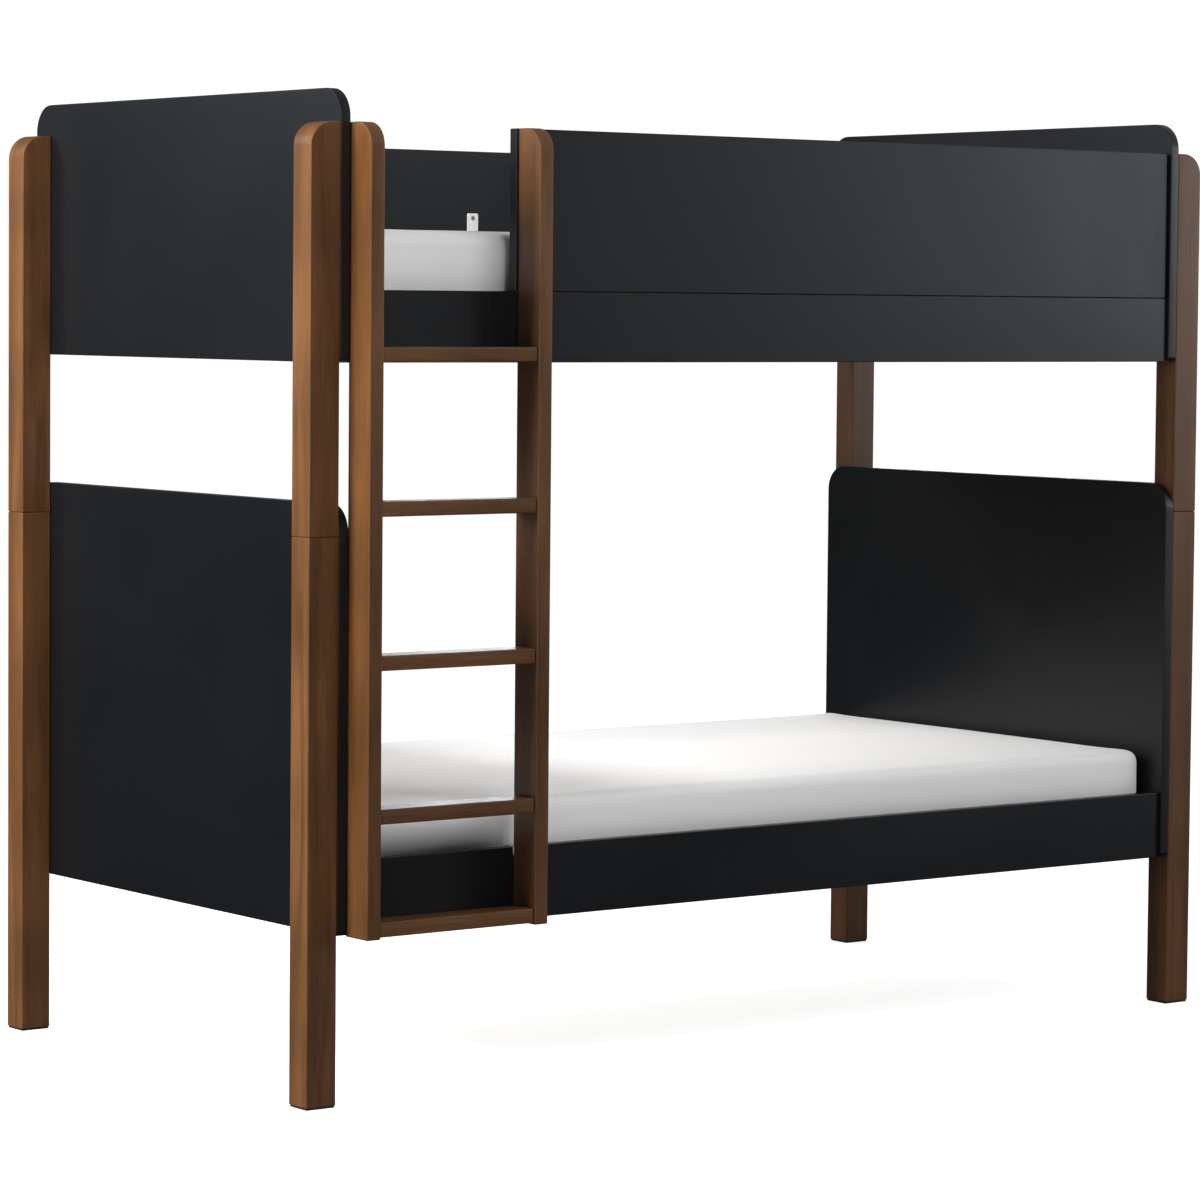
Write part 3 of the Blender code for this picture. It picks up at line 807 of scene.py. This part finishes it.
def make_straps(level):
    """The two straps below the slats, and the staples that hold them."""
    name = f"{level}_slat_base"
    low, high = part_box(name)
    drop = high.z - SLAT_THICK - STRAP_THICK / 2
    half_staple = Vector(STAPLE_SIZE) / 2
    straps = bmesh.new()
    staples = bmesh.new()
    for sign in (-1, 1):
        y = (low.y + high.y) / 2 + sign * STRAP_Y
        path = strap_path(y, drop)
        strip(straps, path, Vector((0, 1, 0)), STRAP_WIDTH, STRAP_THICK, STRAP_CORNER)
        for x in slat_middles():
            middle = Vector((x, y, drop - STRAP_THICK / 2 - half_staple.z))
            for end in (-1, 1):
                centre = middle + end * Vector((*STAPLE_SPOT, 0))
                low_end, high_end = centre - half_staple, centre + half_staple
                eased_block(staples, low_end, high_end, STAPLE_EASE, 1)
    mesh = to_mesh(f"{level}_straps", straps)
    add_piece(f"{level}_straps", mesh, webbing_cloth, f"{level}_bunk", [name])
    mesh = to_mesh(f"{level}_staples", staples)
    add_piece(f"{level}_staples", mesh, steel, f"{level}_bunk", [name])


# ---- steel hardware -------------------------------------------------------------------------
def add_steel(name, bm, material, body, nodes=()):
    """A piece of the steel hardware."""
    add_piece(name, to_mesh(name, bm), material, body, nodes)


def make_guard_plates():
    """Flat plates with pan-head screws, across the joints of the guard rails."""
    for face, sign in FACES.items():
        for place in ("left", "middle", "right"):
            name = f"guard_plate_{face}_{place}"
            low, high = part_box(name)
            against = low.y if sign < 0 else high.y
            x = (low.x + high.x) / 2
            y = against - sign * SHEET / 2
            bm = bmesh.new()
            path = [Vector((x, y, z)) for z in (low.z, (low.z + high.z) / 2, high.z)]
            strip(bm, path, Vector((1, 0, 0)), high.x - low.x, SHEET, SHEET_CORNER)
            add_steel(name + "_sheet", bm, bright_zinc, "upper_bunk", [name])
            heads = bmesh.new()
            for number, drop in enumerate(PLATE_HEAD_DROPS):
                spot = Vector((x, against - sign * SHEET, high.z - drop))
                add_copy(heads, screw_head, facing(spot, (0, -sign, 0), 0.5 + 1.3 * number))
            add_steel(name + "_screws", heads, steel, "upper_bunk", [name])


def make_corners():
    """Angle brackets, with a screw in each leg."""
    for level in LEVELS:
        for face, y_sign in FACES.items():
            for side, x_sign in SIDES.items():
                name = f"{level}_corner_{face}_{side}"
                low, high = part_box(name)
                x = (high.x if x_sign > 0 else low.x) - x_sign * SHEET / 2
                y = (high.y if y_sign > 0 else low.y) - y_sign * SHEET / 2
                z = (low.z + high.z) / 2
                leg_x = x - x_sign * (high.x - low.x - SHEET / 2)
                leg_y = y - y_sign * (high.y - low.y - SHEET / 2)
                points = [Vector((leg_x, y, z)), Vector((x, y, z)), Vector((x, leg_y, z))]
                path = bent_path(points, BEND_RADIUS)
                bm = bmesh.new()
                strip(bm, path, Vector((0, 0, 1)), high.z - low.z, SHEET, SHEET_CORNER)
                body = f"{level}_bunk"
                add_steel(name + "_sheet", bm, bright_zinc, body, [name])
                heads = bmesh.new()
                reach = CORNER_HEAD_SHARE * (high.x - low.x)
                spot = Vector((x - x_sign * reach, y - y_sign * SHEET / 2, z))
                add_copy(heads, screw_head, facing(spot, (0, -y_sign, 0), 0.4))
                spot = Vector((x - x_sign * SHEET / 2, y - y_sign * reach, z))
                add_copy(heads, screw_head, facing(spot, (-x_sign, 0, 0), 1.0))
                add_steel(name + "_screws", heads, steel, body, [name])


def make_ladder_fittings():
    """The hooks over the lower rail, and the bolts through the upper one."""
    for side in SIDES:
        name = f"ladder_hook_{side}"
        low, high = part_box(name)
        x = (low.x + high.x) / 2
        front, back, top = low.y + SHEET / 2, high.y - SHEET / 2, high.z - SHEET / 2
        rail_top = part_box("lower_rail_front")[1].z
        outline = ((front, rail_top - HOOK_LIP), (front, top), (back, top), (back, low.z))
        path = bent_path([Vector((x, y, z)) for y, z in outline], SHEET / 2 + SHEET_EASE)
        bm = bmesh.new()
        strip(bm, path, Vector((1, 0, 0)), high.x - low.x, SHEET, SHEET_CORNER)
        add_steel(name + "_strap", bm, bright_zinc, "upper_bunk", [name])

        name = f"ladder_bolt_{side}"
        low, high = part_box(name)
        middle = (low + high) / 2
        rail_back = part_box("upper_rail_front")[1].y
        length = rail_back - low.y
        bm = bmesh.new()
        spot = Vector((middle.x, rail_back + BOLT_GAP, middle.z))
        add_copy(bm, bolt_head, facing(spot, (0, 1, 0)))
        shank = [(NEAR_AXIS, 0.0), (SHANK_TIP[0], 0.0), (SHANK_RADIUS, SHANK_TIP[1])]
        shank += [(SHANK_RADIUS, length), (NEAR_AXIS, length)]
        spot = Vector((middle.x, low.y, middle.z))
        lathe(bm, shank, HEAD_STEPS, facing(spot, (0, 1, 0)))
        add_steel(name + "_socket", bm, steel, "upper_bunk", [name])


def make_dowels():
    """Steel pins with chamfered ends between the post halves."""
    for face in FACES:
        for side in SIDES:
            name = f"post_dowel_{face}_{side}"
            low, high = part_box(name)
            radius = (high.x - low.x) / 2
            length = high.z - low.z
            end = radius - DOWEL_EASE
            profile = [(NEAR_AXIS, 0), (end, 0), (radius, DOWEL_EASE)]
            profile += [(radius, length - DOWEL_EASE), (end, length), (NEAR_AXIS, length)]
            base = Vector(((low.x + high.x) / 2, (low.y + high.y) / 2, low.z))
            bm = bmesh.new()
            lathe(bm, profile, HEAD_STEPS, Matrix.Translation(base))
            add_steel(name + "_pin", bm, steel, "lower_bunk", [name])


def make_ledger_screws():
    """Screws that hold the ledgers to the side rails."""
    for level in LEVELS:
        for face, sign in FACES.items():
            low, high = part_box(f"{level}_ledger_{face}")
            y = high.y if sign < 0 else low.y
            bm = bmesh.new()
            for number in range(LEDGER_HEADS):
                x = low.x + (high.x - low.x) * (number + 0.5) / LEDGER_HEADS
                spot = Vector((x, y, (low.z + high.z) / 2))
                add_copy(bm, screw_head, facing(spot, (0, -sign, 0), 0.9 * number))
            add_steel(f"{level}_ledger_screws_{face}", bm, steel, f"{level}_bunk")


# ---- surroundings ---------------------------------------------------------------------------
def make_camera():
    """The camera at the photograph's angle."""
    azimuth = math.radians(CAMERA_AZIMUTH)
    yaw = math.radians(CAMERA_YAW)
    pitch = math.radians(CAMERA_PITCH)
    level_part = math.cos(pitch)
    ahead = Vector((math.sin(yaw) * level_part, math.cos(yaw) * level_part, math.sin(pitch)))
    level = ahead.cross(Vector((0, 0, 1))).normalized()
    turn = Matrix((level, level.cross(ahead), -ahead)).transposed().to_4x4()
    roll = Matrix.Rotation(math.radians(CAMERA_ROLL), 4, "Z")
    place = Vector((-math.sin(azimuth), -math.cos(azimuth), 0)) * CAMERA_BACK
    place.z = CAMERA_HEIGHT
    camera = bpy.data.objects.new("camera", bpy.data.cameras.new("camera"))
    camera.matrix_world = Matrix.Translation(place) @ turn @ roll
    camera.data.lens = CAMERA_LENS
    camera.data.shift_x, camera.data.shift_y = CAMERA_SHIFT
    camera.data.clip_end = 200
    scene.collection.objects.link(camera)
    scene.camera = camera


def make_floor():
    """A plain pale floor, which stays dim in reflections."""
    bm = bmesh.new()
    bmesh.ops.create_grid(bm, x_segments=1, y_segments=1, size=FLOOR_REACH)
    mesh = bpy.data.meshes.new("floor")
    bm.to_mesh(mesh)
    bm.free()
    made = bpy.data.materials.new("floor")
    made.use_nodes = True
    tree = made.node_tree
    tree.nodes.clear()
    plain = node(tree, "BsdfDiffuse", {"Color": FLOOR_TONE}).outputs[0]
    lift = node(tree, "Emission", {"Strength": FLOOR_LIFT}).outputs[0]
    pale = node(tree, "AddShader", {0: plain, 1: lift}).outputs[0]
    dark = node(tree, "Emission", {"Strength": FLOOR_DIM}).outputs[0]
    ray = node(tree, "LightPath").outputs
    shown = node(tree, "MixShader", {0: ray["Is Camera Ray"], 1: plain, 2: pale}).outputs[0]
    mixed = node(tree, "MixShader", {0: ray["Is Glossy Ray"], 1: shown, 2: dark}).outputs[0]
    output = tree.nodes.new("ShaderNodeOutputMaterial")
    tree.links.new(mixed, output.inputs["Surface"])
    mesh.materials.append(made)
    floor = bpy.data.objects.new("floor", mesh)
    scene.collection.objects.link(floor)


def make_world():
    """White to look at; a soft fill from behind the bed, and a glow at the right in reflections."""
    world = bpy.data.worlds.new("studio")
    world.use_nodes = True
    scene.world = world
    tree = world.node_tree
    ray = node(tree, "LightPath").outputs
    direction = node(tree, "TexCoord").outputs["Generated"]
    parts = node(tree, "SeparateXYZ", {0: direction}).outputs
    fill = between(tree, parts["Y"], 0.0, 0.8, WORLD_FRONT, WORLD_BACK)
    gloss = between(tree, parts["X"], 0.45, 0.95, WORLD_DIM, WORLD_GLOSS)
    unseen = node(tree, "Mix", {0: ray["Is Glossy Ray"], 2: fill, 3: gloss}).outputs[0]
    strength = node(tree, "Mix", {0: ray["Is Camera Ray"], 2: unseen, 3: WORLD_SEEN}).outputs[0]
    tree.links.new(strength, tree.nodes["Background"].inputs["Strength"])
    tree.nodes["Background"].inputs["Color"].default_value = (1, 1, 1, 1)


def add_light(name, place, aim, size, power, glossy=True, diffuse=True, tint=(1, 1, 1)):
    """A soft rectangular light aimed at a point."""
    light = bpy.data.lights.new(name, "AREA")
    light.shape = "RECTANGLE"
    light.size, light.size_y = size
    light.energy = power
    light.color = tint
    lamp = bpy.data.objects.new(name, light)
    lamp.matrix_world = facing(place, Vector(place) - Vector(aim))
    lamp.visible_glossy = glossy
    lamp.visible_diffuse = diffuse
    lamp.visible_camera = False
    scene.collection.objects.link(lamp)


def make_lights():
    """A key and fills, and lights that the lacquer and the edges of the wood reflect."""
    add_light(
        "key_left", place=(-4.4, -0.2, 2.9), aim=(-1.0, -0.1, 1.5),
        size=(1.3, 1.8), power=375, glossy=False,
    )
    add_light(
        "gradient_left", place=(-4.6, 3.0, 3.25), aim=(-1.0, 0.0, 1.5),
        size=(1.6, 1.4), power=62, tint=COOL,
    )
    add_light(
        "gradient_right", place=(6.2, -4.2, 2.1), aim=(0.9, -0.5, 1.5),
        size=(2.6, 1.5), power=62, tint=COOL,
    )
    add_light(
        "front", place=(0.3, -3.9, 4.4), aim=(0.1, -0.4, 1.0),
        size=(3.6, 2.0), power=140, glossy=False,
    )
    add_light(
        "back", place=(0.0, 4.6, 2.2), aim=(0.0, 0.0, 0.5),
        size=(8.0, 1.4), power=96, glossy=False,
    )
    add_light(
        "gradient_back", place=(5.2, 6.2, 2.3), aim=(0.6, 0.5, 1.2),
        size=(2.6, 1.8), power=110, diffuse=False, tint=COOL,
    )
    add_light(
        "edges", place=(-4.6, -4.4, 1.9), aim=(-1.0, -0.5, 1.2),
        size=(1.2, 3.2), power=110, diffuse=False,
    )


# ---- the bed --------------------------------------------------------------------------------
steel = zinc("zinc_screws", SCREW_TONE, metallic=0.8)
bright_zinc = zinc("zinc_sheet", SHEET_TONE, metallic=0.25)
webbing_cloth = webbing()
screw_head = cut_head(HEAD_RADIUS, HEAD_HEIGHT, cross_cutter(HEAD_RADIUS, HEAD_HEIGHT))
bolt_head = cut_head(BOLT_RADIUS, BOLT_HEIGHT, hex_cutter(BOLT_RADIUS, BOLT_HEIGHT))

make_camera()
make_world()
make_floor()
make_lights()
dress_frame()
for number, level in enumerate(LEVELS):
    make_mattress(level, MATTRESS_SEED + number)
    make_slats(level, SLAT_SEED + number)
    make_straps(level)
make_guard_plates()
make_corners()
make_ladder_fittings()
make_dowels()
make_ledger_screws()
scene.view_settings.view_transform = "Standard"
